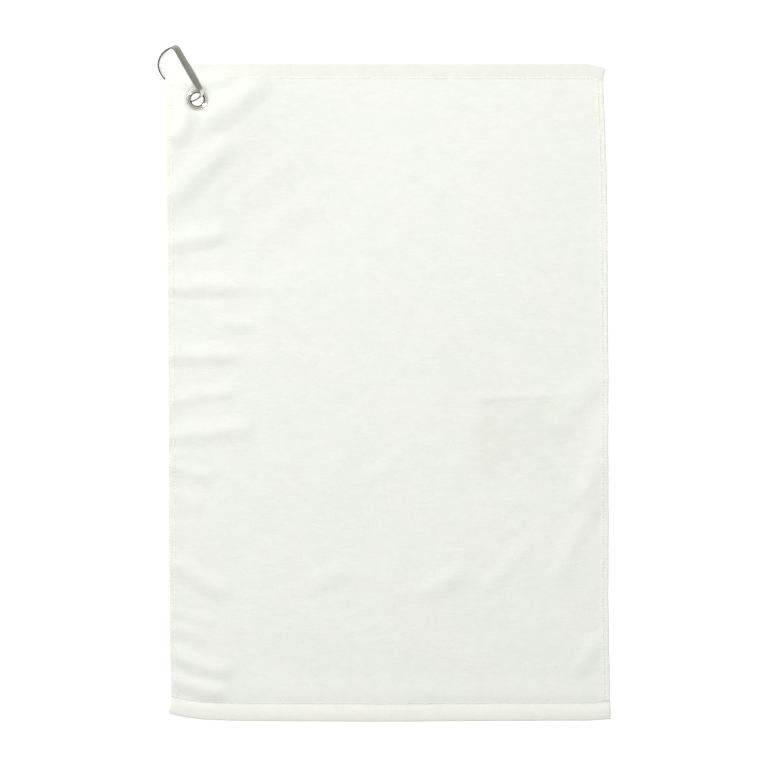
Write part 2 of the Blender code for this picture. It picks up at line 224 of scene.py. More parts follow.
def metal_material(name, low, high, rough_low, rough_high, scale, streak=(1, 1, 1), bump=0.05, painted_colour=None, painted_light_by="painted_light", metallic=1.0):
    m, N, L, b = new_material(name)
    b.inputs["Metallic"].default_value = metallic
    co = node(N, "ShaderNodeTexCoord")
    mp = node(N, "ShaderNodeMapping")
    mp.inputs["Scale"].default_value = streak
    L.new(co.outputs["Object"], mp.inputs["Vector"])
    n = node(N, "ShaderNodeTexNoise", Scale=scale, Detail=4.0, Roughness=0.6)
    L.new(mp.outputs["Vector"], n.inputs["Vector"])
    c = ramp(N, [(0.3, low), (0.7, high)])
    L.new(n.outputs["Fac"], c.inputs["Fac"])
    if painted_colour:  # painted light: mixed towards a second colour by the attribute, a painted highlight on the hook strip and its spine edges, painted shade on the grommet
        painted_light = node(N, "ShaderNodeAttribute", attribute_name=painted_light_by)
        w = node(N, "ShaderNodeMix", data_type="RGBA", blend_type="MIX")
        L.new(painted_light.outputs["Fac"], w.inputs[0])
        L.new(c.outputs["Color"], w.inputs[6])
        w.inputs[7].default_value = (*painted_colour, 1.0)
        L.new(w.outputs[2], b.inputs["Base Color"])
    else:
        L.new(c.outputs["Color"], b.inputs["Base Color"])
    r = node(N, "ShaderNodeMapRange")
    r.inputs["To Min"].default_value, r.inputs["To Max"].default_value = rough_low, rough_high
    L.new(n.outputs["Fac"], r.inputs["Value"])
    L.new(r.outputs["Result"], b.inputs["Roughness"])
    bp = node(N, "ShaderNodeBump", Strength=bump, Distance=0.0001)
    L.new(n.outputs["Fac"], bp.inputs["Height"])
    L.new(bp.outputs["Normal"], b.inputs["Normal"])
    return m


COTTON = cotton_material()
THREAD = thread_material()
# outer strip face; mixed to a painted highlight colour where the hook's attribute says
STRIP = metal_material("satin_nickel_face", (0.295, 0.30, 0.262), (0.365, 0.37, 0.325), 0.40, 0.50, 60, (14, 14, 14), 0.06, (0.97, 0.97, 0.95))
# inner strip faces: painted reflection of the white surroundings, a pale low-metallic copy of the nickel
STRIP_IN = metal_material("nickel_inside_painted_reflection", (0.82, 0.82, 0.80), (0.92, 0.92, 0.90), 0.24, 0.36, 900, (1, 1, 1), 0.04, metallic=0.35)
# strip edges: painted shade for the dark edge lines, mixed lighter along the spine by edge_tone
STRIP_EDGE = metal_material("nickel_edge_painted_shade", (0.15, 0.15, 0.14), (0.24, 0.24, 0.22), 0.25, 0.40, 1400, (1, 1, 1), 0.08, (0.62, 0.62, 0.60), "edge_tone")
# grommet plate: mixed to a painted shade colour in its throat and rim grooves
PLATE = metal_material("nickel_plate", (0.72, 0.69, 0.63), (0.88, 0.86, 0.81), 0.08, 0.18, 260, (1, 1, 1), 0.03, (0.21, 0.17, 0.14))
WASHER = metal_material("nickel_plate_back", (0.70, 0.66, 0.60), (0.82, 0.79, 0.74), 0.16, 0.30, 300, (1, 1, 1), 0.04)


# ------------------------------------------------------------------ cloth
WIDTH, HEIGHT = 405.0, 608.0
TOP, BOTTOM = float(towel_high[1]) / MM, float(towel_low[1]) / MM
SIDE_HEM, TOP_HEM, BOTTOM_HEM = 5.0, 13.4, 16.4
GX, GY, GZ = (c / MM for c in GROMMET)
CLAMPED = 1.8


def sstep(v):
    v = np.clip(v, 0, 1)
    return v * v * (3 - 2 * v)


LEFT = [(-312.2, -197.9), (-306.0, -198.6), (-301.5, -199.1), (-297.0, -197.6), (-291.0, -196.6), (-262.0, -197.4), (-199.5, -198.5), (-120.0, -198.9), (-14.8, -199.5), (80.0, -200.1), (170.0, -200.9), (296.4, -201.8)]
RIGHT = [(-309.0, 209.3), (-300.0, 209.4), (-291.9, 208.7), (-199.5, 207.4), (-14.8, 207.3), (80.0, 206.9), (170.0, 206.0), (210.0, 205.2), (243.8, 204.1), (276.2, 202.4), (283.8, 202.6), (289.4, 204.0), (292.2, 203.1)]


def left_edge(y):
    return np.interp(y, *zip(*LEFT)) + 0.12 * np.sin(y / 17.0) + 0.08 * np.sin(y / 6.1)


def right_edge(y):
    return np.interp(y, *zip(*RIGHT)) + 0.12 * np.sin(y / 23.0 + 1) + 0.08 * np.sin(y / 7.3)


def top_edge(x):
    return TOP - 0.1 - 4.2 * np.clip((x - 184.0) / 20.0, 0, 1) ** 1.5 - 0.12 * (1 - np.cos(x / 31.0))


def bottom_edge(x):
    low = [(-198.2, -304.5), (-184.1, -307.7), (-169.0, -309.7), (-156.0, -310.6), (-122.0, -311.5), (0.0, -311.8), (190.0, -310.9), (209.4, -309.2)]
    return np.interp(x, *zip(*low)) + 0.12 * (1 - np.cos(x / 37.0)) - 0.1


def px(x, y):
    """From a place in the 768-wide frame to mm on the table."""
    return (x - 384) * 0.9236, (384 - y) * 0.9236


def fold(x, y, spots, height, dark, lit, start=1.0, end=0.0, taper=18.0, side=None):
    """A soft fold. spots run along its steep side, which is dark mm wide and falls away from the light.

    The long side, lit mm wide, rises to the crest. start and end are how much of it is left at each end.
    """
    pts = [px(*p) for p in spots]
    best = np.full(x.shape, 1e9)
    v = np.zeros_like(x)
    u = np.zeros_like(x)
    run = 0.0
    for (x0, y0), (x1, y1) in zip(pts, pts[1:]):
        dx, dy = x1 - x0, y1 - y0
        n = math.hypot(dx, dy)
        dx, dy = dx / n, dy / n
        nx, ny = dy, -dx
        ref = side or (0.35, -0.94)
        if nx * ref[0] + ny * ref[1] < 0:
            nx, ny = -nx, -ny
        along = (x - x0) * dx + (y - y0) * dy
        t = np.clip(along, 0, n)
        away = np.hypot(x - x0 - dx * t, y - y0 - dy * t)
        mine = away < best
        best = np.where(mine, away, best)
        v = np.where(mine, (x - x0) * nx + (y - y0) * ny, v)
        u = np.where(mine, run + along, u)
        run += n
    rise = sstep((v + dark / 2 + lit) / lit)
    fall = 1 - sstep((v + dark / 2) / dark)
    fade = (start + (1 - start) * sstep((u + taper * 0.3) / taper)) * (end + (1 - end) * sstep((run - u + taper * 0.3) / taper))
    fade = fade * sstep((run - u + taper * 0.9) / taper) * sstep((u + taper * 0.9) / taper)
    return height * rise * fall * fade


_grids = {}


def value_noise(x, y, scale, seed):
    """Smooth noise from a seeded lattice."""
    if seed not in _grids:
        _grids[seed] = np.random.default_rng(seed).uniform(-1, 1, (256, 256))
    grid = _grids[seed]
    gx, gy = x / scale + 97.3, y / scale + 61.7
    i, j = np.floor(gx).astype(int), np.floor(gy).astype(int)
    fx, fy = sstep(gx - i), sstep(gy - j)
    g = lambda a, b: grid[a % 256, b % 256]
    return (g(i, j) * (1 - fx) + g(i + 1, j) * fx) * (1 - fy) + (g(i, j + 1) * (1 - fx) + g(i + 1, j + 1) * fx) * fy


CORNER = np.array([-201.8 - GX, TOP - GY])
CORNER = CORNER / np.hypot(*CORNER)
TENT_REACH = 88.0
PLATEAU_R, PLATEAU_BLEND = 10.0, 5.0

FOLDS = [  # places along the steep side (frame px), height mm, steep width mm, long side mm, share left at start and end
    dict(spots=[(274, 84), (243, 109), (203, 138)], height=2.9, dark=19, lit=20, start=0.1, end=0.0, taper=26),
    dict(spots=[(238, 149), (206, 178), (176, 210)], height=2.7, dark=18, lit=20, start=0.0, end=0.5, taper=24),
    dict(spots=[(172, 251), (190, 248), (228, 240)], height=2.10, dark=14, lit=15, start=0.9, end=0.0, taper=15),
    dict(spots=[(174, 266), (183, 262)], height=0.59, dark=9, lit=6, start=0.8, end=0.0, taper=8),
    dict(spots=[(172, 294), (245, 293.5)], height=2.44, dark=12, lit=17, start=1.0, end=0.1, taper=22),
    dict(spots=[(245, 293.5), (296, 291)], height=0.50, dark=12, lit=12, start=0.6, end=0.0, taper=18),
    dict(spots=[(216, 328.5), (258, 331.5)], height=1.09, dark=10, lit=12, start=0.0, end=0.0, taper=12),
    dict(spots=[(173, 362.5), (238, 362)], height=2.69, dark=12, lit=15, start=0.8, end=0.05, taper=22),
    dict(spots=[(240, 363), (322, 364.5)], height=0.42, dark=12, lit=12, start=0.7, end=0.0, taper=16),
    dict(spots=[(172, 409), (196, 401.5), (238, 397)], height=1.60, dark=11, lit=12, start=0.8, end=0.0, taper=15),
    dict(spots=[(173, 444.5), (212, 439.5), (256, 435)], height=2.10, dark=15, lit=14, start=0.8, end=0.0, taper=19),
    dict(spots=[(173, 460), (190, 457)], height=0.76, dark=9, lit=7, start=0.8, end=0.0, taper=9),
    dict(spots=[(172, 472), (214, 484)], height=1.43, dark=12, lit=9, start=0.8, end=0.0, taper=14, side=(-0.2, -0.98)),
    dict(spots=[(173, 500), (200, 512)], height=1.18, dark=13, lit=9, start=0.8, end=0.0, taper=14, side=(-0.3, -0.95)),
    dict(spots=[(172, 571), (200, 588), (228, 602)], height=2.10, dark=14, lit=14, start=0.9, end=0.0, taper=18, side=(-0.4, -0.9)),
    dict(spots=[(172, 618), (216, 627)], height=0.84, dark=10, lit=8, start=0.8, end=0.0, taper=12, side=(-0.2, -0.98)),
    dict(spots=[(172, 632), (208, 643)], height=0.92, dark=10, lit=8, start=0.8, end=0.0, taper=12, side=(-0.3, -0.95)),
    dict(spots=[(172, 661), (200, 673), (234, 679)], height=2.60, dark=13, lit=13, start=0.7, end=0.0, taper=17, side=(-0.3, -0.95)),
    dict(spots=[(172, 687), (198, 695), (226, 700)], height=2.60, dark=14, lit=10, start=0.6, end=0.0, taper=16, side=(-0.3, -0.95)),
    dict(spots=[(215, 699), (400, 700), (600, 700)], height=0.8, dark=10, lit=20, start=0.9, end=0.6, taper=40),
    # right-hand side
    dict(spots=[(472, 402.5), (520, 398.5), (572, 397)], height=0.65, dark=3.2, lit=10, start=0.2, end=0.5, taper=12),
    dict(spots=[(606, 387), (591, 399), (575, 417), (567, 440)], height=1.5, dark=17, lit=20, start=0.9, end=0.0, taper=16, side=(0.6, -0.8)),
    dict(spots=[(624, 428), (614, 469), (604, 495), (592, 515)], height=3.1, dark=34, lit=16, start=0.5, end=0.0, taper=28, side=(0.93, -0.36)),
    dict(spots=[(598, 514), (580, 545), (562, 588)], height=1.15, dark=13, lit=14, start=0.7, end=0.0, taper=24, side=(0.9, -0.4)),
    dict(spots=[(534, 549), (507, 577), (490, 596)], height=0.9, dark=14, lit=12, start=0.0, end=0.0, taper=16, side=(0.8, -0.6)),
    dict(spots=[(603, 646), (592, 661), (582, 678)], height=1.5, dark=14, lit=10, start=0.9, end=0.0, taper=14, side=(0.9, -0.4)),
    # faint diagonals of the middle
    dict(spots=[(357, 573), (335, 583), (312, 596)], height=1.5, dark=17, lit=13, start=0.0, end=0.0, taper=20),
    dict(spots=[(470, 578), (445, 590), (424, 604)], height=1.6, dark=17, lit=13, start=0.0, end=0.0, taper=18),
    dict(spots=[(401, 470), (384, 478), (366, 486)], height=0.8, dark=14, lit=12, start=0.0, end=0.0, taper=15),
    dict(spots=[(330, 200), (250, 262)], height=0.6, dark=20, lit=16, start=0.0, end=0.0, taper=30),
    dict(spots=[(300, 160), (240, 214)], height=0.6, dark=18, lit=14, start=0.0, end=0.0, taper=26),
]


CORNER_FOLDS = [  # beside the grommet: down to the left of it, and under the hem on both sides of the hook
    dict(spots=[(197, 112), (191, 127), (181, 149)], height=3.5, dark=16, lit=11, start=0.9, end=0.1, taper=18, side=(0.92, -0.4)),
    dict(spots=[(178, 87), (238, 86)], height=2.2, dark=12, lit=8, start=0.3, end=0.0, taper=14),
]


def fold_height(x, y):
    h = np.zeros_like(x)
    for f in FOLDS:
        h = h + fold(x, y, **f)
    # the whole towel lies a little uneven
    h = h + 0.42 * (value_noise(x, y, 62.0, 11) + 1) + 0.24 * (value_noise(x, y, 29.0, 12) + 1) + 0.075 * (value_noise(x, y, 12.0, 13) + 1)
    # puckers along the sewn edges
    dl, dr = x - left_edge(y), right_edge(y) - x
    dt, db = top_edge(x) - y, y - bottom_edge(x)
    h = h + 0.30 * (value_noise(x * 0 + 5, y, 9.0, 21) + 1) * np.exp(-((dl / 13) ** 2))
    h = h + 0.16 * (value_noise(x * 0 + 9, y, 10.0, 22) + 1) * np.exp(-((dr / 11) ** 2))
    h = h + 0.12 * (value_noise(x, y * 0 + 3, 13.0, 23) + 1) * np.exp(-((dt / 15) ** 2))
    h = h + 0.16 * (value_noise(x, y * 0 + 7, 12.0, 24) + 1) * np.exp(-((db / 17) ** 2))
    return h


def lift(x, y):
    """Height of the cloth's underside in mm."""
    ox, oy = x - GX, y - GY
    r = np.hypot(ox, oy)
    bell = np.maximum(0, (np.exp(-((r / TENT_REACH) ** 2)) - 0.02) / 0.98)
    tent = (GZ - CLAMPED / 2) * bell
    towards = np.clip((ox * CORNER[0] + oy * CORNER[1]) / 14.0, 0, 1)
    free = tent + fold_height(x, y) * (1 - 0.7 * sstep(1 - (r - 9) / 9)) * (1 - 0.5 * sstep(towards))
    for f in CORNER_FOLDS:
        free = free + fold(x, y, **f)
    free = np.maximum(0, free - 1.4 * np.exp(-(((x + 167) / 13) ** 2) - ((y - 286) / 12) ** 2))  # pressed in where the hook swings over the hem
    plane = GZ - CLAMPED / 2 / math.cos(TILT) - (TILTED.x * ox + TILTED.y * oy) / TILTED.z
    w = sstep((PLATEAU_R + PLATEAU_BLEND - r) / PLATEAU_BLEND)
    return free * (1 - w) + plane * w


SIDE_PROFILE = ([0, 1.5, 2.6, 3.9, 4.8, 5.6, 6.6, 8.0, 11.0], [3.42, 3.56, 3.46, 3.16, 3.24, 3.34, 3.13, 3.05, 3.0])
TOP_PROFILE = ([0, 1.2, 5.0, 11.0, 12.2, 13.4, 14.2, 16.0, 20.0], [3.15, 3.3, 3.32, 3.32, 3.36, 3.30, 3.24, 3.14, 3.0])
BOTTOM_PROFILE = ([0, 1.4, 3.6, 5.6, 9.0, 10.7, 12.9, 14.5, 15.7, 17.0, 18.2, 19.4, 21.0, 25.0], [3.5, 4.0, 4.35, 4.42, 4.36, 4.16, 3.55, 3.00, 2.62, 2.46, 2.60, 3.04, 3.22, 3.0])


def thickness(x, y):
    dl, dr = x - left_edge(y), right_edge(y) - x
    dt, db = top_edge(x) - y, y - bottom_edge(x)
    ds = np.minimum(dl, dr)
    side = np.interp(ds, *SIDE_PROFILE)
    end = np.where(dt < db, np.interp(dt, *TOP_PROFILE), np.interp(db, *BOTTOM_PROFILE))
    de = np.where(dt < db, dt - TOP_HEM, db - BOTTOM_HEM)
    w = sstep((1.2 - de) / 2.0)  # end hems lie over the side hems
    t = side * (1 - w) + end * (0.9 + 0.1 * sstep(ds / 3.0)) * w
    r = np.hypot(x - GX, y - GY)
    w = sstep((PLATEAU_R + 3.5 - r) / 3.5)
    return t * (1 - w) + CLAMPED * w, ds, np.minimum(dt, db), de


def lines(length, low_hem, high_hem, at, coarse=2.5, fine=0.85):
    """Grid lines from one edge to the other: close together in the hems and by the grommet."""
    def edge(hem):
        return [0, 0.12, 0.4, 0.85, 1.4, 2.0] + list(np.arange(2.8, hem - 2.2, 1.4)) + list(hem + np.array([-1.9, -1.3, -0.8, -0.4, 0, 0.4, 0.8, 1.3, 2.0, 3.0, 4.2, 5.6]))

    low, high = edge(low_hem), [length - v for v in edge(high_hem)][::-1]
    inner, v = [], low[-1]
    while v < high[0] - 1.0:
        near = abs(v - at) < 15.5
        v += fine if near else coarse
        inner.append(v)
    inner = [v for v in inner if v < high[0] - 0.8]
    return np.array(low + inner + high)


def build_cloth():
    us = lines(WIDTH, SIDE_HEM, SIDE_HEM, GX + 201.8 - 0.2)
    vs = lines(HEIGHT, BOTTOM_HEM, TOP_HEM, GY - BOTTOM)
    nu, nv = len(us), len(vs)
    U, V = np.meshgrid(us, vs, indexing="ij")
    # from edge distances to places: keep distances near each edge, share the slack over the middle
    Y = BOTTOM + V
    X = -202 + U
    for _ in range(3):
        lo, hi = left_edge(Y), right_edge(Y)
        slack = hi - lo - WIDTH
        X = lo + U + slack * sstep((U - 20) / (WIDTH - 40))
        lo, hi = bottom_edge(X), top_edge(X)
        slack = hi - lo - HEIGHT
        Y = lo + V + slack * sstep((V - 24) / (HEIGHT - 48))
    t, ds, dend, de = thickness(X, Y)
    h = lift(X, Y)
    # rounded folded edges: top and bottom meet half way up at the rim
    rim = np.minimum(np.minimum(U, WIDTH - U), np.minimum(V, HEIGHT - V))
    q = np.clip(rim / 1.6, 0, 1)
    round_off = np.maximum(0, 1 - (1 - q) ** 3.5) ** (1 / 3.5)
    mid = h + t / 2
    ztop = mid + t / 2 * round_off
    zbot = mid - t / 2 * round_off
    idx_top = np.arange(nu * nv).reshape(nu, nv)
    edge_mask = np.zeros((nu, nv), bool)
    edge_mask[0, :] = edge_mask[-1, :] = edge_mask[:, 0] = edge_mask[:, -1] = True
    r = np.hypot(X - GX, Y - GY)
    hole = r < 8.3
    # bottom shares the rim's points
    idx_bot = np.full((nu, nv), -1)
    idx_bot[edge_mask] = idx_top[edge_mask]
    inner = ~edge_mask
    idx_bot[inner] = nu * nv + np.arange(inner.sum())
    top_co = np.stack([X, Y, ztop], -1).reshape(-1, 3)
    bot_co = np.stack([X[inner], Y[inner], zbot[inner]], -1)
    hem_w = np.maximum(sstep((SIDE_HEM - 0.6 - ds) / 0.8), sstep((-0.6 - de) / 0.8))
    hem_all = np.concatenate([hem_w.reshape(-1), hem_w[inner]])
    on_end = sstep((0.8 - de) / 1.6)
    pucker_y = np.interp(ds, [0, 1.0, 3.8, 5.0, 6.2, 8.0], [0.35, 0.7, 1.0, 0.9, 0.35, 0.0]) * (1 - on_end)
    pucker_x = np.interp(de, [-6.5, -3.2, -1.6, 0.0, 1.2, 3.4], [0.0, 0.3, 0.85, 1.0, 0.75, 0.0]) * np.where(Y > 0, 0.3, 1.0)
    pucker_y_all = np.concatenate([pucker_y.reshape(-1), pucker_y[inner]])
    pucker_x_all = np.concatenate([pucker_x.reshape(-1), pucker_x[inner]])
    end_hem = sstep((-0.6 - de) / 0.8) * (Y > 0)
    top_hem_all = np.concatenate([end_hem.reshape(-1), end_hem[inner]])
    # the pile is pressed in a patch at the right, squarish and a little ragged
    wob = 5.0 * value_noise(X, Y, 15.0, 31)
    (px0, py1), (px1, py0) = px(474, 397.5), px(584, 500)
    pressed_pile_and_shade = sstep((X - px0 + 0.36 * (py1 - Y) + wob) / 22.0) * sstep((px1 - 0.25 * (py1 - Y) - X + wob) / 22.0)
    pressed_pile_and_shade = pressed_pile_and_shade * sstep((py1 - Y) / 3.0) * sstep((Y - py0 + wob * 1.6) / 46.0)
    pressed_pile_and_shade = pressed_pile_and_shade * (0.76 + 0.26 * value_noise(X * 0.4, Y, 5.0, 32) + 0.22 * value_noise(X, Y, 6.5, 33) + 0.20 * value_noise(X * 0.3, Y, 2.6, 34))
    pressed_pile_and_shade = pressed_pile_and_shade + 0.8 * np.exp(-(((r - 9.0) / 8.0) ** 2)) * (r > 9.0)  # painted shade round the grommet, added to the same mask
    pressed_pile_and_shade_all = np.concatenate([pressed_pile_and_shade.reshape(-1), (pressed_pile_and_shade * 0)[inner]])
    co = np.concatenate([top_co, bot_co])
    a, b_, c, d = idx_top[:-1, :-1], idx_top[1:, :-1], idx_top[1:, 1:], idx_top[:-1, 1:]
    keep = ~(hole[:-1, :-1] | hole[1:, :-1] | hole[1:, 1:] | hole[:-1, 1:])
    top_faces = np.stack([a, b_, c, d], -1)[keep]
    a, b_, c, d = idx_bot[:-1, :-1], idx_bot[1:, :-1], idx_bot[1:, 1:], idx_bot[:-1, 1:]
    bot_faces = np.stack([a, d, c, b_], -1)[keep]
    faces = [tuple(f) for f in top_faces.tolist()] + [tuple(f) for f in bot_faces.tolist()]
    # wall of the hole, hidden in the clamped grommet
    edge_count = {}
    for f in top_faces.tolist():
        for p, q_ in zip(f, f[1:] + f[:1]):
            edge_count[(p, q_)] = True
    for (p, q_) in list(edge_count):
        if (q_, p) not in edge_count:
            pi, qi = divmod(p, nv), divmod(q_, nv)
            if r[pi] < 12 and r[qi] < 12:
                pb, qb = idx_bot[pi], idx_bot[qi]
                faces.append((q_, p, int(pb), int(qb)))
                for k in (pi, qi):
                    f = 7.2 / r[k]
                    nx, ny = GX + (X[k] - GX) * f, GY + (Y[k] - GY) * f
                    for vi in (idx_top[k], idx_bot[k]):
                        co[vi, 0], co[vi, 1] = nx, ny
    mesh = bpy.data.meshes.new("towel_velour")
    mesh.from_pydata((co * MM).tolist(), [], faces)
    mesh.validate()
    for key, values in (("hem", hem_all), ("top_hem", top_hem_all), ("pucker_x", pucker_x_all), ("pucker_y", pucker_y_all), ("pressed_pile_and_shade", np.clip(pressed_pile_and_shade_all, 0, 1))):
        at = mesh.attributes.new(key, "FLOAT", "POINT")
        at.data.foreach_set("value", values.astype(np.float32))
    bm = bmesh.new()
    bm.from_mesh(mesh)
    loose = [v for v in bm.verts if not v.link_faces]
    bmesh.ops.delete(bm, geom=loose, context="VERTS")
    bm.to_mesh(mesh)
    bm.free()
    mesh.shade_smooth()
    mesh.materials.append(COTTON)
    ob = bpy.data.objects.new("towel_velour", mesh)
    scene.collection.objects.link(ob)
    return ob


towel = build_cloth()
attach(towel, "towel")
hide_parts("towel_cloth")


# ------------------------------------------------------------------ stitches
def place(u, v):
    """A point at distance u from the left edge and v from the bottom edge, in mm."""
    y, x = BOTTOM + v, -202.0 + u
    for _ in range(3):
        lo, hi = float(left_edge(np.float64(y))), float(right_edge(np.float64(y)))
        x = lo + u + (hi - lo - WIDTH) * float(sstep((u - 20) / (WIDTH - 40)))
        lo, hi = float(bottom_edge(np.float64(x))), float(top_edge(np.float64(x)))
        y = lo + v + (hi - lo - HEIGHT) * float(sstep((v - 24) / (HEIGHT - 48)))
    return x, y


def stitch_rows(name, spots, node_name, pitch=2.9, radius=0.5, seed=1, sunk=0.0):
    """One object holding every single stitch of a seam, on the face and on the back of the cloth."""
    rng = np.random.default_rng(seed)
    pts = np.array([place(u, v) for u, v in spots])
    seg = np.hypot(*(pts[1:] - pts[:-1]).T)
    s = np.concatenate([[0], np.cumsum(seg)])
    sides, rings = 8, 9
    all_co, all_faces, base = [], [], 0
    for side in (1, -1):
        c = (np.arange(int(s[-1] / pitch) - 1) + 0.5 + (0.0 if side > 0 else 0.5)) * pitch
        c = c + rng.uniform(-0.15, 0.15, c.shape)
        half = pitch * 0.5 * rng.uniform(0.84, 0.94, c.shape)
        off = rng.uniform(-0.08, 0.08, c.shape)[:, None]
        f = np.linspace(-1, 1, rings)[None, :]
        d = c[:, None] + f * half[:, None]
        x, y = np.interp(d, s, pts[:, 0]), np.interp(d, s, pts[:, 1])
        tx, ty = np.interp(d + 0.5, s, pts[:, 0]) - x, np.interp(d + 0.5, s, pts[:, 1]) - y
        n = np.maximum(np.hypot(tx, ty), 1e-6)
        sx, sy = -ty / n, tx / n
        x, y = x + sx * off, y + sy * off
        t, h = thickness(x, y)[0], lift(x, y)
        rad = radius * np.maximum(0.35, np.sqrt(np.maximum(0.0, 1 - np.abs(f) ** 2.6)))
        arch = 0.20 * (1 - f * f) - 0.16 * np.abs(f) ** 3
        z = h + t + arch - sunk if side > 0 else h - arch * 0.4
        g = 2 * math.pi * np.arange(sides) / sides
        co = np.stack([
            x[..., None] + (sx * rad)[..., None] * np.cos(g),
            y[..., None] + (sy * rad)[..., None] * np.cos(g),
            z[..., None] + (side * 0.55 * rad)[..., None] * np.sin(g),
        ], -1)
        k = len(c)
        idx = base + np.arange(k * rings * sides).reshape(k, rings, sides)
        a, b_ = idx[:, :-1], idx[:, 1:]
        quads = np.stack([a, np.roll(a, -1, 2), np.roll(b_, -1, 2), b_], -1).reshape(-1, 4)
        caps = np.concatenate([idx[:, 0, ::-1], idx[:, -1]]).tolist()
        all_co.append(co.reshape(-1, 3))
        all_faces += [tuple(q) for q in quads.tolist()] + [tuple(q) for q in caps]
        base += k * rings * sides
    mesh = bpy.data.meshes.new(name)
    mesh.from_pydata((np.concatenate(all_co) * MM).tolist(), [], all_faces)
    bm = bmesh.new()
    bm.from_mesh(mesh)
    bmesh.ops.recalc_face_normals(bm, faces=bm.faces[:])
    bm.to_mesh(mesh)
    bm.free()
    mesh.shade_smooth()
    mesh.materials.append(THREAD)
    ob = bpy.data.objects.new(name, mesh)
    scene.collection.objects.link(ob)
    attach(ob, "towel")
    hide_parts(node_name)
    return ob


span_v = np.linspace(BOTTOM_HEM + 1.5, HEIGHT - TOP_HEM - 1.5, 200)
span_u = np.linspace(2.2, WIDTH - 2.2, 140)
threads = [
    stitch_rows("thread_left", [(SIDE_HEM + 0.5, v) for v in span_v], "stitch_row_left", seed=3),
    stitch_rows("thread_right", [(WIDTH - SIDE_HEM - 0.6, v) for v in span_v], "stitch_row_right", seed=4),
    stitch_rows("thread_top", [(u, HEIGHT - TOP_HEM) for u in span_u], "stitch_row_top", radius=0.62, seed=5, sunk=0.16),
    stitch_rows("thread_bottom", [(u, BOTTOM_HEM + 0.7) for u in span_u], "stitch_row_bottom", radius=0.42, seed=6, sunk=0.12),
]


# ------------------------------------------------------------------ grommet
def turned(name, profile, mat, steps=96, sharp=45):
    bm = bmesh.new()
    verts = [bm.verts.new((r * MM, 0.0, z * MM)) for r, z in profile]
    edges = [bm.edges.new((verts[k], verts[(k + 1) % len(verts)])) for k in range(len(verts))]
    bmesh.ops.spin(bm, geom=verts + edges, cent=(0, 0, 0), axis=(0, 0, 1), dvec=(0, 0, 0), angle=2 * math.pi, steps=steps, use_merge=True, use_duplicate=False)
    bmesh.ops.remove_doubles(bm, verts=bm.verts[:], dist=1e-7)
    bmesh.ops.recalc_face_normals(bm, faces=bm.faces[:])
    light_layer = bm.verts.layers.float.new("painted_light")
    for v in bm.verts:  # painted shade and dark reflection: darkened in the throat, under the rolled rim and at the outer rim
        r = math.hypot(v.co.x, v.co.y) / MM
        v[light_layer] = max(sstep((7.35 - r) / 0.5) * sstep((r - 5.65) / 0.25), 0.7 * sstep((r - 8.15) / 0.15) * sstep((8.75 - r) / 0.15), 0.8 * sstep((r - 9.6) / 0.25))
    mesh = bpy.data.meshes.new(name)
    bm.to_mesh(mesh)
    bm.free()
    mesh.shade_smooth()
    mesh.set_sharp_from_angle(angle=math.radians(sharp))
    mesh.materials.append(mat)
    ob = bpy.data.objects.new(name, mesh)
    scene.collection.objects.link(ob)
    ob.matrix_world = Matrix.Translation(GROMMET) @ TURN
    return ob


def smooth_profile(points, per=4):
    """Closed Catmull-Rom curve through profile points (r, z), so that rolled edges come out round."""
    out, n = [], len(points)
    for k in range(n):
        p0, p1, p2, p3 = (np.array(points[(k + i) % n]) for i in (-1, 0, 1, 2))
        for i in range(per):
            t = i / per
            out.append(tuple(0.5 * (2 * p1 + (p2 - p0) * t + (2 * p0 - 5 * p1 + 4 * p2 - p3) * t * t + (3 * p1 - p0 - 3 * p2 + p3) * t**3)))
    return out


F = 0.9 + 0.12
eyelet = turned("grommet_front", smooth_profile([
    (9.75, F - 0.05), (10.0, F + 0.18), (9.95, F + 0.5), (9.65, F + 0.82), (9.25, F + 0.94), (8.8, F + 0.86), (8.45, F + 0.66), (8.25, F + 0.66), (8.05, F + 0.98), (7.7, F + 1.22), (7.2, F + 1.05),
    (6.45, F + 0.3), (6.0, F - 0.35), (5.7, F - 1.0), (5.6, F - 1.5), (5.6, -1.4), (5.7, -1.85), (6.0, -2.2), (6.5, -2.38), (7.0, -2.35), (7.15, -2.15),
    (6.95, -2.0), (6.5, -1.95), (6.2, -1.75), (6.1, -1.3), (6.1, F - 0.9), (6.35, F - 0.25), (6.9, F + 0.3), (7.8, F + 0.55), (8.8, F + 0.45), (9.4, F + 0.1)], 3), PLATE)
washer = turned("grommet_back", smooth_profile([(6.55, -1.25), (6.5, -1.45), (6.6, -1.7), (7.6, -1.72), (8.8, -1.7), (9.6, -1.6), (9.8, -1.4), (9.6, -1.22), (8.4, -1.2), (7.4, -1.2)], 3), WASHER)
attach(eyelet, "towel")
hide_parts("grommet_eyelet")
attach(washer, "towel")
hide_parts("grommet_washer")


# ------------------------------------------------------------------ hook
HALF_T = STRIP_T / 2
SPINE_Q, NOSE_Q = -(RING_D / 2 - HALF_T), RING_D / 2 - HALF_T
TOP_A, BOTTOM_A = -19.67 + HALF_T, 34.54 - HALF_T
SPINE_W, BAR_W, SIDE_W, TIP_W = 7.8, 5.5, 5.6, 5.0
TOP_R, BOTTOM_R = 4.9, 5.2
NOSE_START_A, TOP_FLAT_Q, HEEL_FLAT_Q = -4.3, -7.4, -8.0


def fstep(v):
    v = min(1.0, max(0.0, v))
    return v * v * (3 - 2 * v)


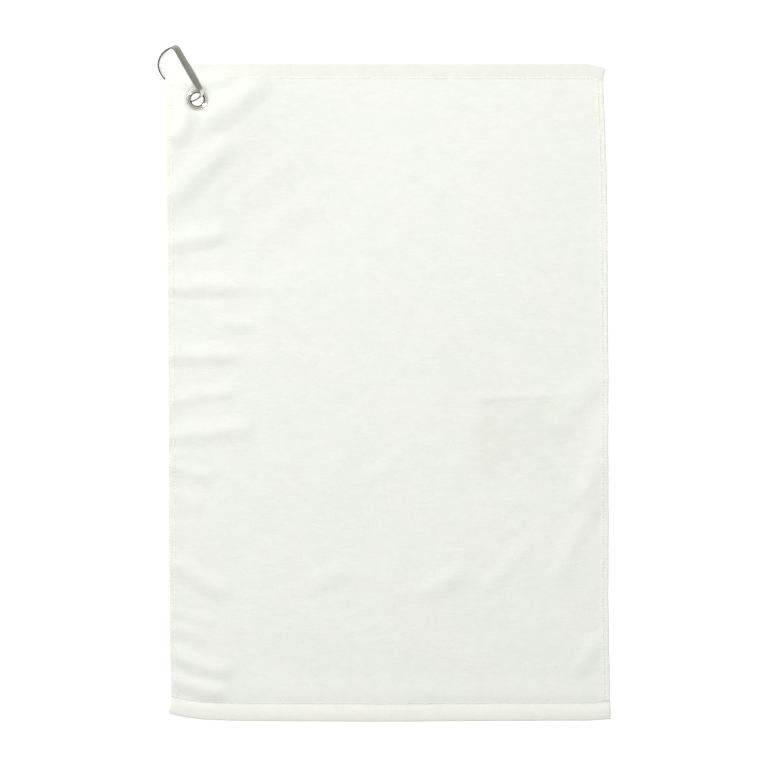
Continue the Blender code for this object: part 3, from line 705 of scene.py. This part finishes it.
def body_path():
    pts = [(1.4, NOSE_Q, TIP_W)] + [(1.4 - 5.7 * k / 8, NOSE_Q, TIP_W + (SIDE_W - TIP_W) * fstep(k / 4)) for k in range(1, 9)]
    for k in range(1, 45):
        g = math.radians(90 * k / 44)
        pts.append((NOSE_START_A + (TOP_A - NOSE_START_A) * math.sin(g), TOP_FLAT_Q + (NOSE_Q - TOP_FLAT_Q) * math.cos(g), SIDE_W + (SPINE_W - SIDE_W) * fstep(k / 44)))
    for k in range(0, 19):
        g = math.radians(90 * k / 18)
        pts.append((TOP_A + TOP_R * (1 - math.cos(g)), SPINE_Q + TOP_R * (1 - math.sin(g)), SPINE_W))
    end = BOTTOM_A - BOTTOM_R
    for k in range(1, 30):
        f = k / 30
        pts.append((TOP_A + TOP_R + (end - TOP_A - TOP_R) * f, SPINE_Q, SPINE_W + (BAR_W - SPINE_W) * fstep((f - 0.76) / 0.24)))
    for k in range(0, 19):
        g = math.radians(90 * k / 18)
        pts.append((end + BOTTOM_R * math.sin(g), SPINE_Q + BOTTOM_R * (1 - math.cos(g)), BAR_W))
    for k in range(1, 41):
        g = math.radians(90 * k / 44)
        pts.append((HEEL_A + (BOTTOM_A - HEEL_A) * math.cos(g), HEEL_FLAT_Q + (HEEL_Q - HEEL_FLAT_Q) * math.sin(g), BAR_W + (SIDE_W - BAR_W) * k / 44))
    return pts


def gate_path():
    pts = []
    for k in range(40, 45):
        g = math.radians(90 * k / 44)
        pts.append((HEEL_A + (BOTTOM_A - HEEL_A) * math.cos(g), HEEL_FLAT_Q + (HEEL_Q - HEEL_FLAT_Q) * math.sin(g), BAR_W + (SIDE_W - BAR_W) * k / 44))
    for k in range(1, 29):
        f = k / 28
        pts.append((GATE_ROOT_A + (-8.6 - GATE_ROOT_A) * f, HEEL_Q + (12.85 - HEEL_Q) * (0.35 * f * f + 0.65 * f), SIDE_W + (TIP_W - SIDE_W) * fstep((f - 0.5) / 0.5)))
    return pts


def strip(name, path, ends, painted_light=lambda a, q: 0.0, dark_edges=lambda a: True, thick=lambda a, q: STRIP_T):
    """Flat strip with rolled edges. ends says whether the first and the last end are rounded tips."""
    bm = bmesh.new()
    light_layer = bm.verts.layers.float.new("painted_light")
    tone = bm.verts.layers.float.new("edge_tone")
    n = len(path)
    corner, crown = 0.22, 0.05
    rings = []

    def section(a, q, w, tangent, squeeze=1.0):
        across = ALONG * -tangent.y + ACROSS * tangent.x
        centre = RING_CENTRE + (ALONG * a + ACROSS * q) * MM
        h, e = w / 2 * squeeze, thick(a, q) / 2
        c = min(corner, h * 0.9)
        out = []
        for cx, cy, start in ((h - c, -(e - c), -90), (h - c, e - c, 0), (-(h - c), e - c, 90), (-(h - c), -(e - c), 180)):
            for k in range(5):
                g = math.radians(start + 90 * k / 4)
                out.append((cx + c * math.cos(g), cy + c * math.sin(g)))
            if start in (0, 180):  # slightly crowned faces
                s = 1 if start == 0 else -1
                for f in (0.5, 0.0, -0.5):
                    out.append(((h - c) * f * s, s * (e + crown * (1 - f * f))))
        made = [bm.verts.new(centre + (NORMAL * u + across * v) * MM) for u, v in out]
        for v in made:
            v[light_layer] = painted_light(a, q)
            # painted light: edges along the spine are mixed lighter than the arc edges
            v[tone] = 0.42 * fstep((-11 - q) / 3.0)
        return made

    tangents = []
    for k in range(n):
        a0, q0 = path[max(0, k - 1)][:2]
        a1, q1 = path[min(n - 1, k + 1)][:2]
        tangents.append(Vector((a1 - a0, q1 - q0)).normalized())
    stations = []
    if ends[0]:
        a, q, w = path[0]
        for k in range(1, 7):
            g = math.radians(90 * k / 6)
            stations.append((a - tangents[0].x * 1.6 * (math.cos(g)), q - tangents[0].y * 1.6 * math.cos(g), w, tangents[0], 0.45 + 0.55 * math.sin(g)))
        stations = stations[:-1]
    for (a, q, w), t in zip(path, tangents):
        stations.append((a, q, w, t, 1.0))
    if ends[1]:
        a, q, w = path[-1]
        tail = []
        for k in range(1, 7):
            g = math.radians(90 * k / 6)
            tail.append((a + tangents[-1].x * 1.6 * math.sin(g), q + tangents[-1].y * 1.6 * math.sin(g), w, tangents[-1], 0.45 + 0.55 * math.cos(g)))
        stations += tail
    for s in stations:
        rings.append(section(*s))
    m = len(rings[0])
    for s, a, b in zip(stations, rings, rings[1:]):
        for k in range(m):
            face = bm.faces.new((a[k], a[(k + 1) % m], b[(k + 1) % m], b[k]))
            # one face takes the satin nickel, the other the inside material's painted reflection; edges take the
            # painted-shade edge material where dark_edges holds, else the inside material
            face.material_index = 1 if 9 <= k <= 12 else 0 if k >= 22 else 2 if dark_edges(s[0]) else 1
    bm.faces.new(rings[0])
    bm.faces.new(rings[-1][::-1])
    bmesh.ops.recalc_face_normals(bm, faces=bm.faces[:])
    mesh = bpy.data.meshes.new(name)
    bm.to_mesh(mesh)
    bm.free()
    mesh.shade_smooth()
    mesh.set_sharp_from_angle(angle=math.radians(50))
    for mat in (STRIP, STRIP_IN, STRIP_EDGE):
        mesh.materials.append(mat)
    ob = bpy.data.objects.new(name, mesh)
    scene.collection.objects.link(ob)
    return ob


def painted_highlight_at(a, q):
    """Painted highlight: 1 round the bend that sits in the grommet, fading along the spine."""
    return fstep((a - (BOTTOM_A - BOTTOM_R - 0.8)) / 1.6) if q < 8 else fstep((a - 24.0) / 4.0)


def stock_at(a, q):
    """Thickness: a little heavier round the top, drawn down where the strip passes through the grommet."""
    return STRIP_T + 0.3 * fstep((20.0 - a) / 8.0) + 0.45 * fstep((-3.0 - a) / 4.0) * fstep((q + 12.0) / 6.0)


ring = strip("hook_ring", body_path(), (True, False), painted_highlight_at, thick=stock_at)
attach(ring, "hook")
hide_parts("hook_body")
# painted highlight on the arm's outer face, weaker towards its root; near the tip the edges take the inside material's
# painted reflection
arm = strip("hook_spring_arm", gate_path(), (False, True), lambda a, q: 0.35 + 0.65 * fstep((22.0 - a) / 8.0), dark_edges=lambda a: a > 1.0)
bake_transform(arm)
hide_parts("hook_gate")


# ------------------------------------------------------------------ floor, light, camera
def floor():
    bm = bmesh.new()
    bmesh.ops.create_grid(bm, x_segments=4, y_segments=4, size=2.5)
    mesh = bpy.data.meshes.new("floor")
    bm.to_mesh(mesh)
    bm.free()
    m, N, L, b = new_material("floor_white")
    b.inputs["Base Color"].default_value = (0.7, 0.7, 0.7, 1)
    b.inputs["Roughness"].default_value = 0.9
    b.inputs["Specular IOR Level"].default_value = 0.1
    b.inputs["Emission Color"].default_value = (1, 1, 1, 1)
    b.inputs["Emission Strength"].default_value = 0.6
    mesh.materials.append(m)
    ob = bpy.data.objects.new("floor", mesh)
    ob.location.z = -0.0004
    scene.collection.objects.link(ob)


floor()


def area(name, place_at, target, size, power, colour=(1, 1, 1)):
    d = bpy.data.lights.new(name, "AREA")
    d.shape = "SQUARE"
    d.size = size
    d.energy = power
    d.color = colour
    ob = bpy.data.objects.new(name, d)
    ob.location = place_at
    ob.rotation_euler = (Vector(target) - Vector(place_at)).to_track_quat("-Z", "Y").to_euler()
    scene.collection.objects.link(ob)


area("key", (-0.78, 1.35, 2.15), (0.0, 0.0, 0.0), 0.42, 39.3)
world = bpy.data.worlds.new("studio")
scene.world = world
world.use_nodes = True
WN, WL = world.node_tree.nodes, world.node_tree.links
bg = WN["Background"]
geo = node(WN, "ShaderNodeTexCoord")
sep = node(WN, "ShaderNodeSeparateXYZ")
WL.new(geo.outputs["Generated"], sep.inputs["Vector"])
sky = ramp(WN, [(0.0, (0.20, 0.20, 0.195)), (0.12, (0.20, 0.20, 0.195)), (0.35, (0.20, 0.20, 0.20)), (0.84, (0.22, 0.22, 0.22)), (0.92, (1.0, 1.0, 1.0)), (1.0, (1.0, 1.0, 1.0))])
WL.new(sep.outputs["Z"], sky.inputs["Fac"])
WL.new(sky.outputs["Color"], bg.inputs["Color"])
bg.inputs["Strength"].default_value = 1.45

cam_data = bpy.data.cameras.new("camera")
cam_data.sensor_width = 36.0
cam_data.lens = 406.0
cam = bpy.data.objects.new("camera", cam_data)
cam.location = (0.0, 0.0, 8.0)
cam.rotation_euler = (0.0, 0.0, 0.0)
scene.collection.objects.link(cam)
scene.camera = cam
scene.view_settings.view_transform = "Standard"
